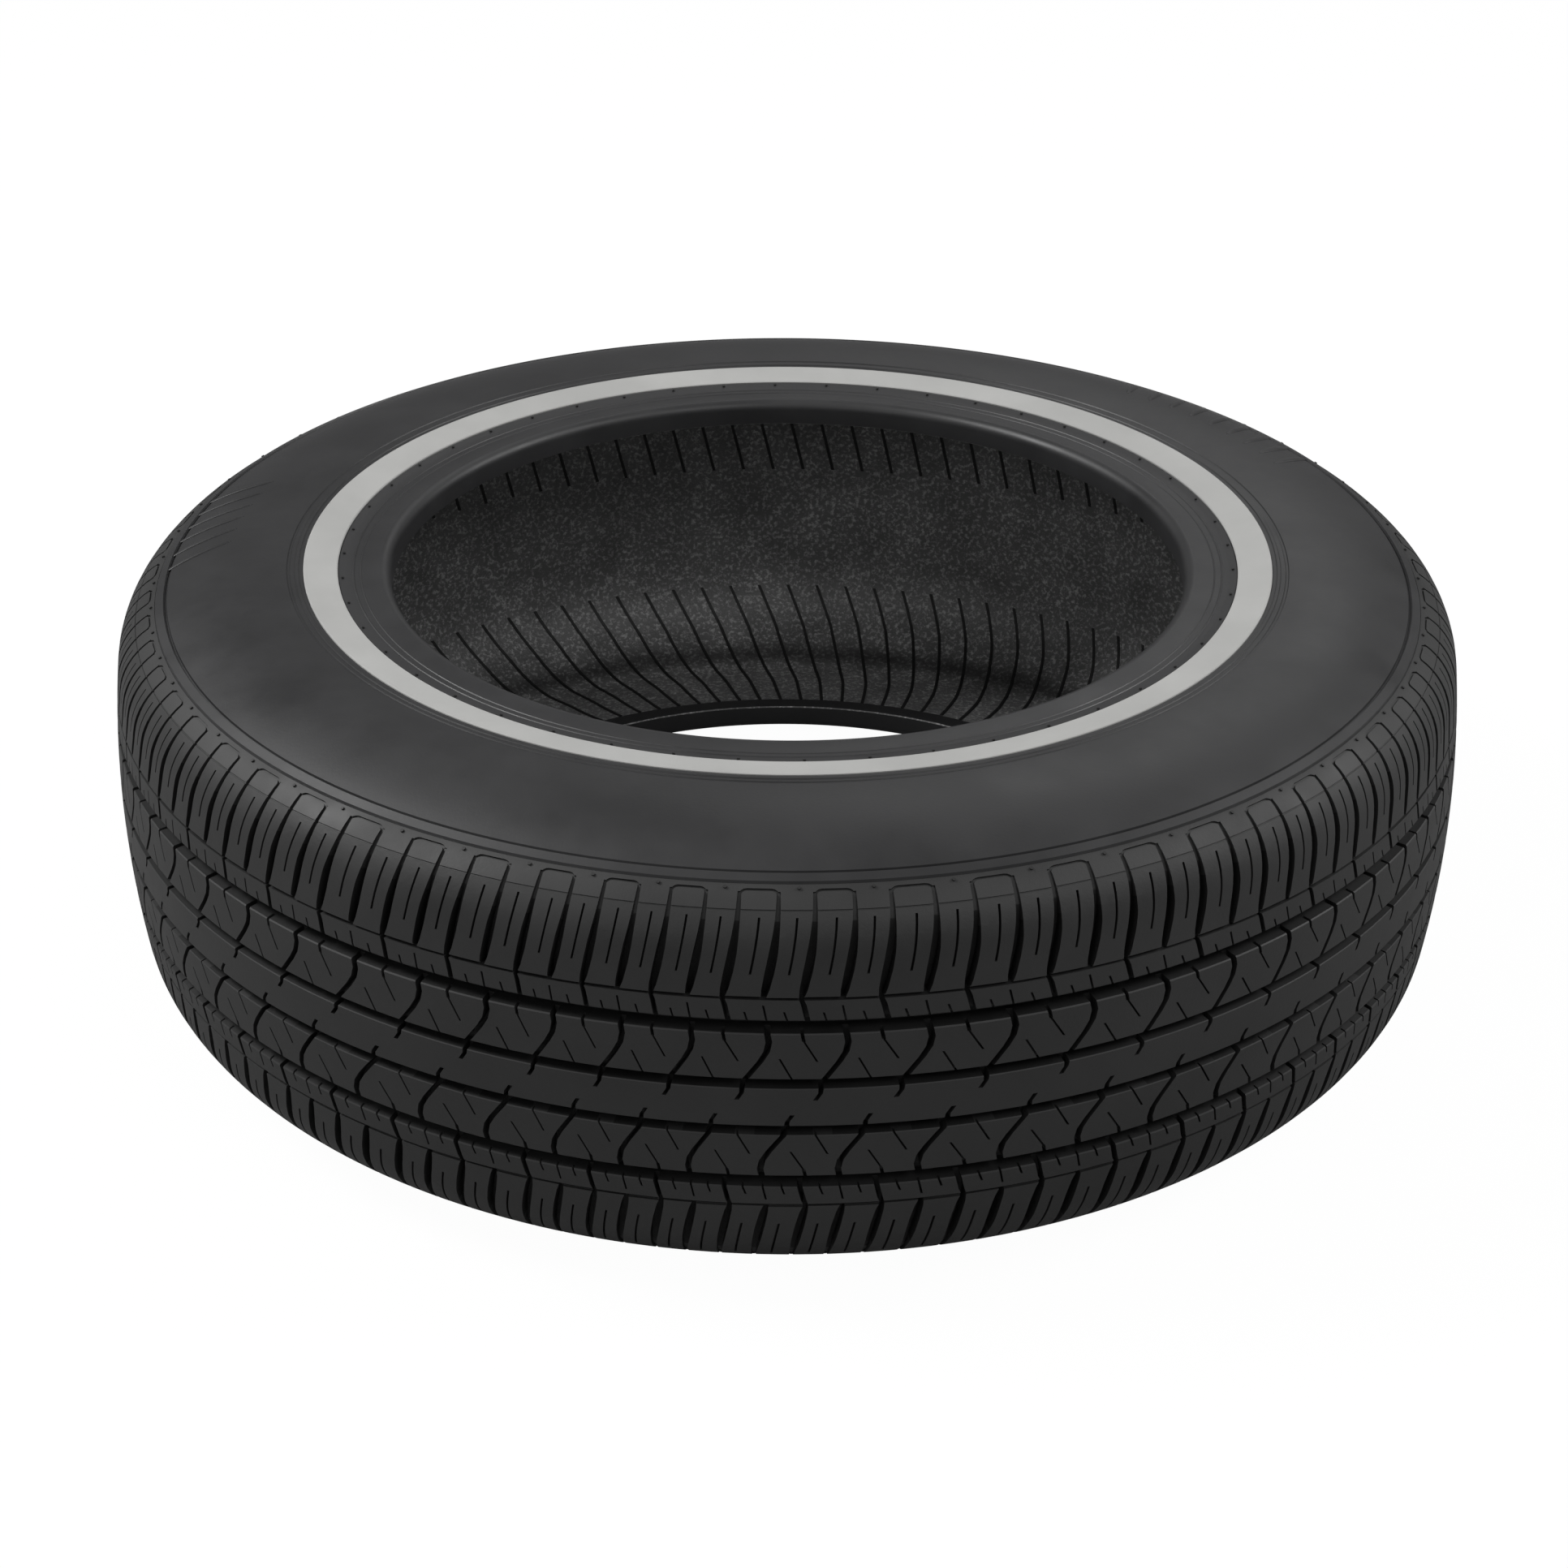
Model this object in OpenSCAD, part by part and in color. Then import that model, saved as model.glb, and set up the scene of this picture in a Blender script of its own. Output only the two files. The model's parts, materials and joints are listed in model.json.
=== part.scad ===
// Passenger car tyre, 205/65 R15, lying on its side with its axis along Z.
// The origin is on the axis, midway between the two sidewalls. Lengths are in millimetres.
// A point of the section is [distance from the axis, height along the axis].

/* [Tyre size] */
// Overall diameter over the middle of the tread
outer_d = 647.5; // [630:0.5:670]
// Width between the sidewalls at their widest
section_w = 206; // [200:1:216]
// Radius at which the sidewalls are widest
widest_r = 250; // [240:1:256]
// Diameter of the bead seats, a little tight on the 380.2 mm seat of a 15 inch rim
bead_d = 379; // [376:0.2:380.2]
// Width between the outer faces of the two beads, unmounted
bead_face_w = 197; // [190:1:199]

/* [Tread] */
// Radius of the crown across the tread
crown_r = 480; // [400:10:800]
// Width between the starts of the two round shoulders
tread_w = 130; // [124:1:136]
// Radius of each shoulder
shoulder_r = 34; // [30:1:36]
// Angle that each shoulder turns before the buttress ring
shoulder_turn = 57; // [50:1:60]
// Depth of the main grooves
tread_depth = 8; // [5:0.5:9]
// Slope of the main grooves' walls, in degrees
wall_slope = 9; // [0:1:14]
// Distance of the outer main grooves from the middle
outer_groove_z = 37.8; // [34:0.2:41]
// Width of the outer main grooves
outer_groove_w = 6; // [4:0.2:8]
// Distance of the inner main grooves from the middle
inner_groove_z = 11.4; // [9:0.2:15]
// Width of the inner main grooves
inner_groove_w = 4.6; // [3:0.2:6]
// Distance from the middle of the thin groove that borders the shoulder lugs
lug_line_z = 50.5; // [47:0.5:53]
// Width of that thin groove
lug_line_w = 1.4; // [1:0.2:2.4]
// Depth of that thin groove
lug_line_depth = 3; // [1:0.5:5]
// Height of the ring that ends each buttress
ring_h = 0.8; // [0.4:0.1:1.5]
// Width of that ring
ring_w = 2; // [1:0.2:3]

/* [Tread pattern] */
// Length of a short pitch beside a middle one
short_pitch = 0.9; // [0.8:0.02:1]
// Length of a long pitch beside a middle one
long_pitch = 1.1; // [1:0.02:1.2]
// Angle about the axis at which the first pitch starts
first_pitch_a = -138.6; // [-180:0.1:180]
// Greatest width of the grooves between the shoulder lugs
lug_groove_w = 3; // [2:0.2:4.4]
// Width of those grooves at their outer ends
lug_groove_end_w = 1.8; // [1:0.2:2]
// Depth of those grooves beside the outer main groove
lug_groove_depth = 5; // [4:0.5:6]
// Distance from the middle at which those grooves run out
lug_end_z = 88.5; // [84:0.5:90]
// How far their arc carries them round the tyre
lug_sweep = 5.8; // [3:0.2:8]
// Share of a pitch from each groove between lugs to the shorter groove that follows it
short_lug_groove_at = 0.52; // [0.45:0.01:0.6]
// How far the grooves between lugs lean on their way through the narrow rib
lug_groove_lean = 3; // [0:0.5:5]
// Width of the slanted grooves through the ribs beside the centre rib
rib_groove_w = 2.6; // [1.6:0.2:3.6]
// Share of a pitch at which each slanted groove leaves the outer main groove
rib_groove_start = 0.58; // [0.5:0.01:0.65]
// Share of a pitch at which it ends in the centre rib
rib_groove_end = 0.18; // [0.1:0.01:0.3]
// How far from the outer main groove it bends
rib_groove_bend = 10.5; // [6:0.5:14]
// Depth of those slanted grooves
rib_groove_depth = 6.5; // [4:0.5:7.5]
// Length of the notch that each slanted groove cuts into the centre rib
notch_reach = 6.5; // [3:0.5:8]
// How far the lower half of the pattern is turned against the upper half
half_shift = 2.5; // [0:0.5:8]

/* [Casing wall] */
// Thickness at the middle of the tread
crown_wall = 15.5; // [14:0.5:20]
// Thickness of the sidewall at its widest
side_wall = 7; // [6:0.5:12]
// Thickness of a bead from its outer face to the toe
bead_wall = 12; // [10:0.5:14]
// Radius of the hollow's corner below each shoulder
hollow_r = 52; // [44:1:56]
// Round of the heel of each bead
heel_r = 5; // [3:0.5:6]
// Width of the face that the rim flange bears on
flange_face_w = 16; // [12:0.5:18]
// How deep that face is hollowed
flange_dip = 0.8; // [0.2:0.1:1.5]

/* [Whitewall] */
// Radius of the inner edge of the white band
band_in_r = 214.4; // [213:0.2:218]
// Width of the white band
band_w = 16; // [10:0.5:20]
// Depth of the seat that the band lies in
band_seat = 1.2; // [0.6:0.1:2]
// How far the band stands proud of the sidewall
band_proud = 0.6; // [0.2:0.1:1]

/* [Hidden] */
$fn = 144;
casing_color = "#2b2b2c";
band_color = "#c4c4c2";

outer_r = outer_d / 2;
bead_r = bead_d / 2;
half_w = section_w / 2;
clear = 2;
shoulder_steps = 5;

// Pitches round the tyre in runs of [size, count], mixed so that the tread does not hum.
pitch_sizes = [short_pitch, 1, long_pitch];
pitch_runs = [
    [1, 2], [2, 1], [1, 2], [0, 3], [1, 2], [2, 5], [1, 4], [0, 2], [1, 2],
    [2, 2], [1, 1], [0, 3], [1, 3], [2, 3], [1, 2], [0, 4], [1, 2], [2, 1],
    [1, 3], [0, 2], [1, 2], [2, 4], [1, 2], [0, 5], [1, 2]
];
pitches = [for (run = pitch_runs) for (k = [1:run[1]]) pitch_sizes[run[0]]];
function sum_of(v, n) = n == 0 ? 0 : v[n - 1] + sum_of(v, n - 1);
middle_pitch_a = 360 / sum_of(pitches, len(pitches));
middle_pitch = middle_pitch_a * PI / 180 * outer_r;

// Corners of the outer surface, from the middle of the tread to the toe of a bead
crown_c = outer_r - crown_r;
function crown_at(z) = crown_c + sqrt(crown_r * crown_r - z * z);
function on_circle(c, r, a) = c + r * [cos(a), sin(a)];
shoulder_a = asin(tread_w / 2 / crown_r);
shoulder_p = [crown_at(tread_w / 2), tread_w / 2];
shoulder_c = on_circle(shoulder_p, -shoulder_r, shoulder_a);
ring_a = shoulder_a + shoulder_turn;
ring_p = on_circle(shoulder_c, shoulder_r, ring_a);
ring_side = ring_w / 2 * [sin(ring_a), -cos(ring_a)];
ring_top = ring_h * [cos(ring_a), sin(ring_a)];
widest_p = [widest_r, half_w];
flange_p = [bead_r + heel_r + flange_face_w, bead_face_w / 2];
heel_p = [bead_r + heel_r, bead_face_w / 2];
land_p = [bead_r, bead_face_w / 2 - heel_r];
toe_p = [bead_r, bead_face_w / 2 - bead_wall];

// Corners of the hollow, from the middle to the toe
hollow_crown = outer_r - crown_wall;
hollow_top_p = [widest_r, half_w - side_wall];
hollow_c = [hollow_crown - hollow_r, hollow_top_p[1] - hollow_r];
hollow_p = [hollow_crown, hollow_c[1]];
hollow_side_p = [hollow_c[0], hollow_top_p[1]];

// Radius of the arc through two points that is level at the first, and of a shallow arc by its rise
function level_r(p, q) = (pow(q[0] - p[0], 2) + pow(q[1] - p[1], 2)) / (2 * abs(q[1] - p[1]));
function rise_r(p, q, rise) = (pow(norm(q - p) / 2, 2) + rise * rise) / (2 * rise);
lower_side_r = level_r(widest_p, flange_p);
function side_at(r) = [r, half_w - lower_side_r + sqrt(pow(lower_side_r, 2) - pow(widest_r - r, 2))];

// The white band lies along the chord between its two edges
band_a = side_at(band_in_r);
band_b = side_at(band_in_r + band_w);
band_along = (band_b - band_a) / norm(band_b - band_a);
band_up = [-band_along[1], band_along[0]];
band_chamfer = band_proud;

// The floor of a groove between shoulder lugs runs straight from the outer main groove to its end on the shoulder.
lug_end_p = [shoulder_c[0] + sqrt(pow(shoulder_r, 2) - pow(lug_end_z - shoulder_c[1], 2)), lug_end_z];
lug_floor = [[crown_at(outer_groove_z) - lug_groove_depth, outer_groove_z], lug_end_p];
lug_floor_reach = 4 * middle_pitch;
notch_w = rib_groove_w * 0.6;

// The sliver between the chord from a to b and an arc of radius r to the right of it
module bulge(a, b, r) {
    along = (b - a) / norm(b - a);
    out = [along[1], -along[0]];
    depth = norm(b - a) / 2;
    intersection() {
        translate((a + b) / 2 - out * sqrt(r * r - depth * depth)) circle(r);
        polygon([a, b, b + out * depth, a + out * depth]);
    }
}

// Cross-section of a main groove at height z
module groove(z, w, depth) {
    floor_w = w / 2 - depth * tan(wall_slope);
    mouth_w = w / 2 + clear * tan(wall_slope);
    r = crown_at(z);
    polygon([[r - depth, z - floor_w], [r + clear, z - mouth_w], [r + clear, z + mouth_w], [r - depth, z + floor_w]]);
}

// Solid outline of the upper half. The shoulder is a run of cones, the other rounds are arcs.
module half_outline() {
    crown_z = [0, inner_groove_z, outer_groove_z, lug_line_z];
    shoulder_turns = [for (k = [0:shoulder_steps]) shoulder_a + shoulder_turn * k / shoulder_steps];
    polygon(concat(
        [for (z = crown_z) [crown_at(z), z]],
        [for (a = shoulder_turns) on_circle(shoulder_c, shoulder_r, a)],
        [widest_p, flange_p, heel_p, land_p, toe_p, hollow_side_p, hollow_p, [hollow_crown, 0]]
    ));
    bulge(ring_p, widest_p, level_r(widest_p, ring_p));
    bulge(widest_p, flange_p, lower_side_r);
    bulge(heel_p, land_p, heel_r);
    polygon([
        ring_p + ring_side, ring_p + ring_side / 2 + ring_top, ring_p - ring_side / 2 + ring_top,
        ring_p - ring_side, ring_p - ring_top
    ]);
}

module half_section() {
    difference() {
        half_outline();
        bulge(hollow_p, hollow_side_p, hollow_r);
        bulge(heel_p, flange_p, rise_r(heel_p, flange_p, flange_dip));
        groove(inner_groove_z, inner_groove_w, tread_depth);
        groove(outer_groove_z, outer_groove_w, tread_depth);
        groove(lug_line_z, lug_line_w, lug_line_depth);
    }
}

module section() {
    difference() {
        union() {
            half_section();
            mirror([0, 1]) half_section();
        }
        polygon([
            band_a - band_up * band_seat, band_b - band_up * band_seat,
            band_b + band_up * clear, band_a + band_up * clear
        ]);
    }
}

// A groove whose middle runs through points of [turn round the tyre, height, width]
module groove_prism(path, floor_r) {
    left = [for (p = path) [p[0] - p[2] / 2, p[1]]];
    right = [for (i = [len(path) - 1:-1:0]) [path[i][0] + path[i][2] / 2, path[i][1]]];
    rotate([90, 0, 90])
        translate([0, 0, floor_r]) linear_extrude(outer_r + clear - floor_r) polygon(concat(left, right));
}

// A groove between shoulder lugs whose inner end is the points given, less deep towards the shoulder
module lug_groove(at, inner_end) {
    intersection() {
        groove_prism(concat(
            [[at + lug_sweep, lug_end_z + clear, lug_groove_end_w], [at, lug_line_z, lug_groove_w]], inner_end
        ), shoulder_c[0]);
        rotate([90, 0, 0]) linear_extrude(lug_floor_reach, center = true)
            polygon(concat(lug_floor, [[outer_r + clear, lug_end_z], [outer_r + clear, outer_groove_z]]));
    }
}

// The grooves of one pitch in the upper half of the tread
module pitch_grooves(size) {
    p = size * middle_pitch;
    lug_groove(0, [[lug_groove_lean, outer_groove_z, lug_groove_w]]);
    lug_groove(short_lug_groove_at * p, []);
    groove_prism([
        [rib_groove_start * p, outer_groove_z, rib_groove_w],
        [rib_groove_start * p, outer_groove_z - rib_groove_bend, rib_groove_w],
        [rib_groove_end * p, inner_groove_z - notch_reach, notch_w]
    ], outer_r - rib_groove_depth);
}

module tread_grooves() {
    turn_a = half_shift / outer_r * 180 / PI;
    for (i = [0:len(pitches) - 1]) {
        start_a = first_pitch_a + sum_of(pitches, i) * middle_pitch_a;
        end_a = start_a + pitches[i] * middle_pitch_a + turn_a;
        rotate([0, 0, start_a]) pitch_grooves(pitches[i]);
        rotate([0, 0, end_a]) rotate([180, 0, 0]) pitch_grooves(pitches[i]);
    }
}

// The casing: tread, shoulders, sidewalls, beads and liner are one cured piece.
module tyre() {
    color(casing_color) difference() {
        rotate_extrude() section();
        tread_grooves();
    }
}

// The ring of white rubber, cured into its seat in the upper sidewall.
module whitewall() {
    top = band_up * band_proud;
    ease = band_along * band_chamfer;
    color(band_color) rotate_extrude() polygon([
        band_a - band_up * band_seat, band_b - band_up * band_seat,
        band_b, band_b + top - ease, band_a + top + ease, band_a
    ]);
}

tyre();
whitewall();
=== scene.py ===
# %% [markdown]
# # A car tyre with a narrow white band
#
# The tyre lies on its side, as on a shop's white floor. It is one moulding of black rubber with a ring of
# white rubber cured into its upper sidewall. This lesson builds it in three steps: the tread is drawn flat,
# one pitch at a time, and wrapped round; the casing and the white band are profiles spun round the axis;
# small marks that the mould leaves are modelled once and copied.

# %% Load the frame
import json
import math

import bpy
import numpy as np
from mathutils import Matrix, Vector

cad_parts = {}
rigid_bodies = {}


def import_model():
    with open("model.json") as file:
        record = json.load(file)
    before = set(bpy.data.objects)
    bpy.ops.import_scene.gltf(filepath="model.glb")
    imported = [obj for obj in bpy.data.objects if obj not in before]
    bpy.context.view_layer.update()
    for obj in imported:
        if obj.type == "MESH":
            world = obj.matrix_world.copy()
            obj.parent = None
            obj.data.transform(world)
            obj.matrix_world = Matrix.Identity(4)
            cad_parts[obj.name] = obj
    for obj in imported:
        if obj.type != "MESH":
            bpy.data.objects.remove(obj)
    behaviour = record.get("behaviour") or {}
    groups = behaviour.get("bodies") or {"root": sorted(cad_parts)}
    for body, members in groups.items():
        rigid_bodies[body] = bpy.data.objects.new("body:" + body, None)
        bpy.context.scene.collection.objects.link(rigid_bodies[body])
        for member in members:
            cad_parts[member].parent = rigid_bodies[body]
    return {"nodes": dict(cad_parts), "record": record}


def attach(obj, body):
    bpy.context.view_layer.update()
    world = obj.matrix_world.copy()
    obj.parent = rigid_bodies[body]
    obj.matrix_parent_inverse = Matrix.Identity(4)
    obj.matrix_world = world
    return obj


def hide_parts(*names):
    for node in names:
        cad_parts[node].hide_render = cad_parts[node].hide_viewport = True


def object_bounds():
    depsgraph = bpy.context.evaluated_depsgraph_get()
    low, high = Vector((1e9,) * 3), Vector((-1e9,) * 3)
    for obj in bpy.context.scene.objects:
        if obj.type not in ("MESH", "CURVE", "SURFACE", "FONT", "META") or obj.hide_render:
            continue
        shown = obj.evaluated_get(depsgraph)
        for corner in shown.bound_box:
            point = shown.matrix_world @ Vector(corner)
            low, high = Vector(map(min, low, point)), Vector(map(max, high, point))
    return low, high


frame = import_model()
cad_box = [list(corner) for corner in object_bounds()]
MM = 0.001
BODY = "root"
print("frame:", sorted(frame["nodes"]), "box", [[round(v, 4) for v in corner] for corner in cad_box])

# %% [markdown]
# ## Sizes
#
# A tyre is drawn from its half section: the flat crown, the round shoulder, the sidewall, the bead. Lengths
# are in millimetres and follow the solid model, whose outer radius, half width and bead radius are read from
# the frame. A point of the section is a pair: distance from the axis, and height along the axis. A length
# whose name ends in T is measured along the tread's surface.


# %% Sizes of the section
def quarter_mm(length):
    """A length of the frame in millimetres, to the nearest quarter."""
    return round(length / MM * 4) / 4


OUTER_R = quarter_mm(cad_box[1][0])
HALF_WIDTH = quarter_mm(cad_box[1][2])
BEAD_R = frame["record"]["mounts"][0]["dims"]["r_mm"]
CROWN_R = 480.0
TREAD_HALF = 65.0
SHOULDER_R = 34.0
SHOULDER_TURN = math.radians(57)
WIDEST = (250.0, HALF_WIDTH)
BEAD_FACE = 98.5
HEEL_R = 5.0
FLANGE_R = 210.5
FLANGE_DIP = 0.8
TOE_Z = 86.5
HOLLOW_CROWN = 308.25
HOLLOW_SIDE = 96.0
HOLLOW_R = 52.0
BAND_IN, BAND_OUT = 214.4, 230.4
BAND_SEAT, BAND_PROUD = 1.2, 0.6

SHOULDER_A = math.asin(TREAD_HALF / CROWN_R)
CROWN_T = CROWN_R * SHOULDER_A
SHOULDER_T = SHOULDER_R * SHOULDER_TURN
EDGE_T = CROWN_T + SHOULDER_T
SHOULDER_C = (
    OUTER_R - CROWN_R + (CROWN_R - SHOULDER_R) * math.cos(SHOULDER_A),
    (CROWN_R - SHOULDER_R) * math.sin(SHOULDER_A),
)
RING_A = SHOULDER_A + SHOULDER_TURN
RING = (SHOULDER_C[0] + SHOULDER_R * math.cos(RING_A), SHOULDER_C[1] + SHOULDER_R * math.sin(RING_A))
print("outer radius", OUTER_R, "bead radius", BEAD_R, "half width", HALF_WIDTH)
print("the tread runs", round(2 * EDGE_T, 1), "mm from ring to ring; ring at", [round(v, 1) for v in RING])

# %% [markdown]
# ## Camera
#
# The photograph looks down on the tyre at 29 degrees, from about one and a half metres, with a long lens.
# The camera comes first, so that every later render can be laid beside the photograph. It is placed by a
# matrix of its own axes, which holds the slight roll of the photograph too.

# %% Camera
CAMERA_AT = (0.0, -1.3474, 0.7181)
CAMERA_DOWN = math.radians(29.04)
CAMERA_ROLL = math.radians(0.285)
CAMERA_YAW = math.radians(-0.055)
LENS_MM, SENSOR_MM = 70.68, 36
NEAR_CLIP, FAR_CLIP = 0.05, 30


def camera_matrix():
    """Right, up and back of the camera as columns, and its place."""
    down, yaw = CAMERA_DOWN, CAMERA_YAW
    ahead = Vector((math.sin(yaw) * math.cos(down), math.cos(yaw) * math.cos(down), -math.sin(down)))
    right = Vector((math.cos(yaw), -math.sin(yaw), 0))
    up = right.cross(ahead)
    turned_right = right * math.cos(CAMERA_ROLL) + up * math.sin(CAMERA_ROLL)
    turned_up = up * math.cos(CAMERA_ROLL) - right * math.sin(CAMERA_ROLL)
    axes = Matrix((turned_right, turned_up, -ahead)).transposed().to_4x4()
    return Matrix.Translation(CAMERA_AT) @ axes


camera_data = bpy.data.cameras.new("camera")
camera_data.lens, camera_data.sensor_width = LENS_MM, SENSOR_MM
camera_data.clip_start, camera_data.clip_end = NEAR_CLIP, FAR_CLIP
camera = bpy.data.objects.new("camera", camera_data)
bpy.context.scene.collection.objects.link(camera)
camera.matrix_world = camera_matrix()
bpy.context.scene.camera = camera
bpy.context.scene.view_settings.view_transform = "Standard"
print("camera", round(Vector(CAMERA_AT).length, 3), "m from the tyre's middle")

# %% [markdown]
# ## Helpers
#
# Every operator acts on what is selected, so a piece is started from an empty selection. A finished mesh has
# its double points merged and its faces turned outwards, and its triangles and open edges are printed.
# Colours are written as hex values, and one function turns them to the linear light that a shader takes.


# %% Helpers for objects
def deselect():
    for other in bpy.context.view_layer.objects:
        other.select_set(False)


def only(piece):
    """Selects one object and nothing else."""
    deselect()
    piece.select_set(True)
    bpy.context.view_layer.objects.active = piece


def begin(name, primitive, **settings):
    """Adds a primitive with nothing else selected, and names it."""
    deselect()
    primitive(**settings)
    piece = bpy.context.object
    piece.name = piece.data.name = name
    return piece


def open_edit(piece):
    only(piece)
    bpy.ops.object.mode_set(mode="EDIT")


def edit_all(piece):
    """Opens edit mode with the whole mesh selected."""
    open_edit(piece)
    bpy.ops.mesh.select_all(action="SELECT")


def close_edit():
    bpy.ops.object.mode_set(mode="OBJECT")


def fix_place(piece):
    """Moves an object's place, turn and size into its mesh."""
    only(piece)
    bpy.ops.object.transform_apply(location=True, rotation=True, scale=True)


def turn_outwards():
    """In edit mode: selects all, and turns every face outwards."""
    bpy.ops.mesh.select_all(action="SELECT")
    bpy.ops.mesh.normals_make_consistent(inside=False)


def tidy_faces(piece, gap):
    """Merges double points, then turns every face outwards."""
    edit_all(piece)
    bpy.ops.mesh.remove_doubles(threshold=gap)
    turn_outwards()
    close_edit()


def select_points(piece, wanted):
    """Selects the points that pass a test, and the edges and faces whose points all do."""
    chosen = [wanted(vertex.co) for vertex in piece.data.vertices]
    for vertex in piece.data.vertices:
        vertex.select = chosen[vertex.index]
    for part in (*piece.data.edges, *piece.data.polygons):
        part.select = all(chosen[i] for i in part.vertices)


def shade(piece, degrees):
    """Shades smooth, apart from edges sharper than an angle."""
    only(piece)
    bpy.ops.object.shade_smooth_by_angle(angle=math.radians(degrees))


def report(piece):
    """Prints how many triangles a mesh has, and how many edges without exactly two faces."""
    count = {}
    for face in piece.data.polygons:
        for key in face.edge_keys:
            count[key] = count.get(key, 0) + 1
    open_edges = sum(1 for faces in count.values() if faces != 2)
    triangles = sum(len(face.vertices) - 2 for face in piece.data.polygons)
    print(piece.name, triangles, "triangles,", open_edges, "open edges")


# %% Helpers for points and copies
COPY_WELD = 0.02 * MM


def points_of(piece):
    flat = np.empty(len(piece.data.vertices) * 3)
    piece.data.vertices.foreach_get("co", flat)
    return flat.reshape(-1, 3)


def move_points(piece, points):
    piece.data.vertices.foreach_set("co", np.asarray(points, float).ravel())
    piece.data.update()


def copied(piece, name, places):
    """Copies a flat piece once for each set of points, and joins the copies into one object."""
    copies = []
    for points in places:
        only(piece)
        bpy.ops.object.duplicate()
        copies.append(bpy.context.object)
        move_points(copies[-1], points)
    for copy in copies:
        copy.select_set(True)
    bpy.context.view_layer.objects.active = copies[0]
    bpy.ops.object.join()
    whole = bpy.context.object
    whole.name = whole.data.name = name
    bpy.data.objects.remove(piece)
    tidy_faces(whole, COPY_WELD)
    return whole


# %% Helpers for colour and materials
PURE_WHITE = (1, 1, 1, 1)


def linear(hex_colour):
    """An sRGB hex value as the four linear numbers that a shader takes."""
    parts = [int(hex_colour[i : i + 2], 16) / 255 for i in (1, 3, 5)]
    return (*[c / 12.92 if c <= 0.04045 else ((c + 0.055) / 1.055) ** 2.4 for c in parts], 1.0)


def node(tree, kind, settings=None, feeds=None):
    """Adds a node. Settings are its attributes, or input sockets by name or number, and feeds are input
    sockets by name or number with the output that each is linked to."""
    new = tree.nodes.new(kind)
    for key, value in (settings or {}).items():
        if isinstance(key, str) and hasattr(new, key):
            setattr(new, key, value)
        else:
            new.inputs[key].default_value = value
    for key, source in (feeds or {}).items():
        tree.links.new(source, new.inputs[key])
    return new


def empty_material(name):
    """A material with its nodes cleared, and its tree."""
    material = bpy.data.materials.new(name)
    material.use_nodes = True
    material.node_tree.nodes.clear()
    return material, material.node_tree


# %% [markdown]
# ## Studio
#
# The tyre was photographed on white with soft light from above. A wide pale floor throws light back under
# the tread. It could be lit until it is white, but that light would wash out the rubber too. So the camera
# sees a plain white glow in its place, mixed with a small share of the floor's own shading, which keeps the
# tyre's shadow. The sky is plain white to the camera and dim to the tyre.

# %% Floor
FLOOR_SIZE = 24
FLOOR_Z = -HALF_WIDTH * MM
FLOOR_GAP = 0.0005
FLOOR_GREY = "#a8a8a8"
FLOOR_GLOW = 1.06
SHADOW_SHARE = 0.08


def studio_floor():
    """A matt pale floor that the camera sees as white, with a share of its shading."""
    material, tree = empty_material("white_studio_floor")
    seen = node(tree, "ShaderNodeLightPath").outputs["Is Camera Ray"]
    white_share = node(tree, "ShaderNodeMath", {"operation": "MULTIPLY", 1: 1 - SHADOW_SHARE}, {0: seen})
    matt = node(tree, "ShaderNodeBsdfDiffuse", {"Color": linear(FLOOR_GREY)})
    glow = node(tree, "ShaderNodeEmission", {"Color": PURE_WHITE, "Strength": FLOOR_GLOW})
    feeds = {0: white_share.outputs[0], 1: matt.outputs[0], 2: glow.outputs[0]}
    blend = node(tree, "ShaderNodeMixShader", {}, feeds)
    node(tree, "ShaderNodeOutputMaterial", {}, {"Surface": blend.outputs[0]})
    return material


floor_place = (0, 0, FLOOR_Z - FLOOR_GAP)
floor = begin("floor", bpy.ops.mesh.primitive_plane_add, size=FLOOR_SIZE, location=floor_place)
fix_place(floor)
floor.data.materials.append(studio_floor())
print("studio: floor at", FLOOR_Z, "m")

# %% Sky
SKY_STRENGTH = 0.18


def white_sky():
    """A world that is plain white to the camera and dim to everything else."""
    world = bpy.data.worlds.new("white_sky")
    world.use_nodes = True
    tree = world.node_tree
    tree.nodes.clear()
    rays = node(tree, "ShaderNodeLightPath").outputs
    feeds = {0: rays["Is Camera Ray"], 1: rays["Is Transmission Ray"]}
    seen = node(tree, "ShaderNodeMath", {"operation": "MAXIMUM"}, feeds)
    dim = node(tree, "ShaderNodeBackground", {"Color": PURE_WHITE, "Strength": SKY_STRENGTH})
    plain = node(tree, "ShaderNodeBackground", {"Color": PURE_WHITE, "Strength": 1.0})
    feeds = {0: seen.outputs[0], 1: dim.outputs[0], 2: plain.outputs[0]}
    choice = node(tree, "ShaderNodeMixShader", {}, feeds)
    node(tree, "ShaderNodeOutputWorld", {}, {"Surface": choice.outputs[0]})
    return world


bpy.context.scene.world = white_sky()
print("sky strength", SKY_STRENGTH)

# %% [markdown]
# The lamps are soft boxes, square area lamps that face the tyre's middle. The strong one stands at the left
# and the next at the right, so both sides of the upper sidewall gleam and its near and far stretches stay
# darker. Two weak ones in front open the grooves, and a weak one behind draws the far rim of the sidewall.

# %% Lamps
LAMPS = [
    ("top_light", (0, 0.3, 2.6), 1.6, 1),
    ("left_light", (-2.0, 0.2, 2.0), 1.2, 58),
    ("right_light", (2.3, 0.3, 1.6), 1.2, 33),
    ("front_right_light", (1.2, -1.6, 2.2), 1.2, 13),
    ("front_left_light", (-1.1, -2.0, 1.5), 0.8, 5),
    ("back_light", (0.6, 1.9, 1.7), 1.2, 5),
]


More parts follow.
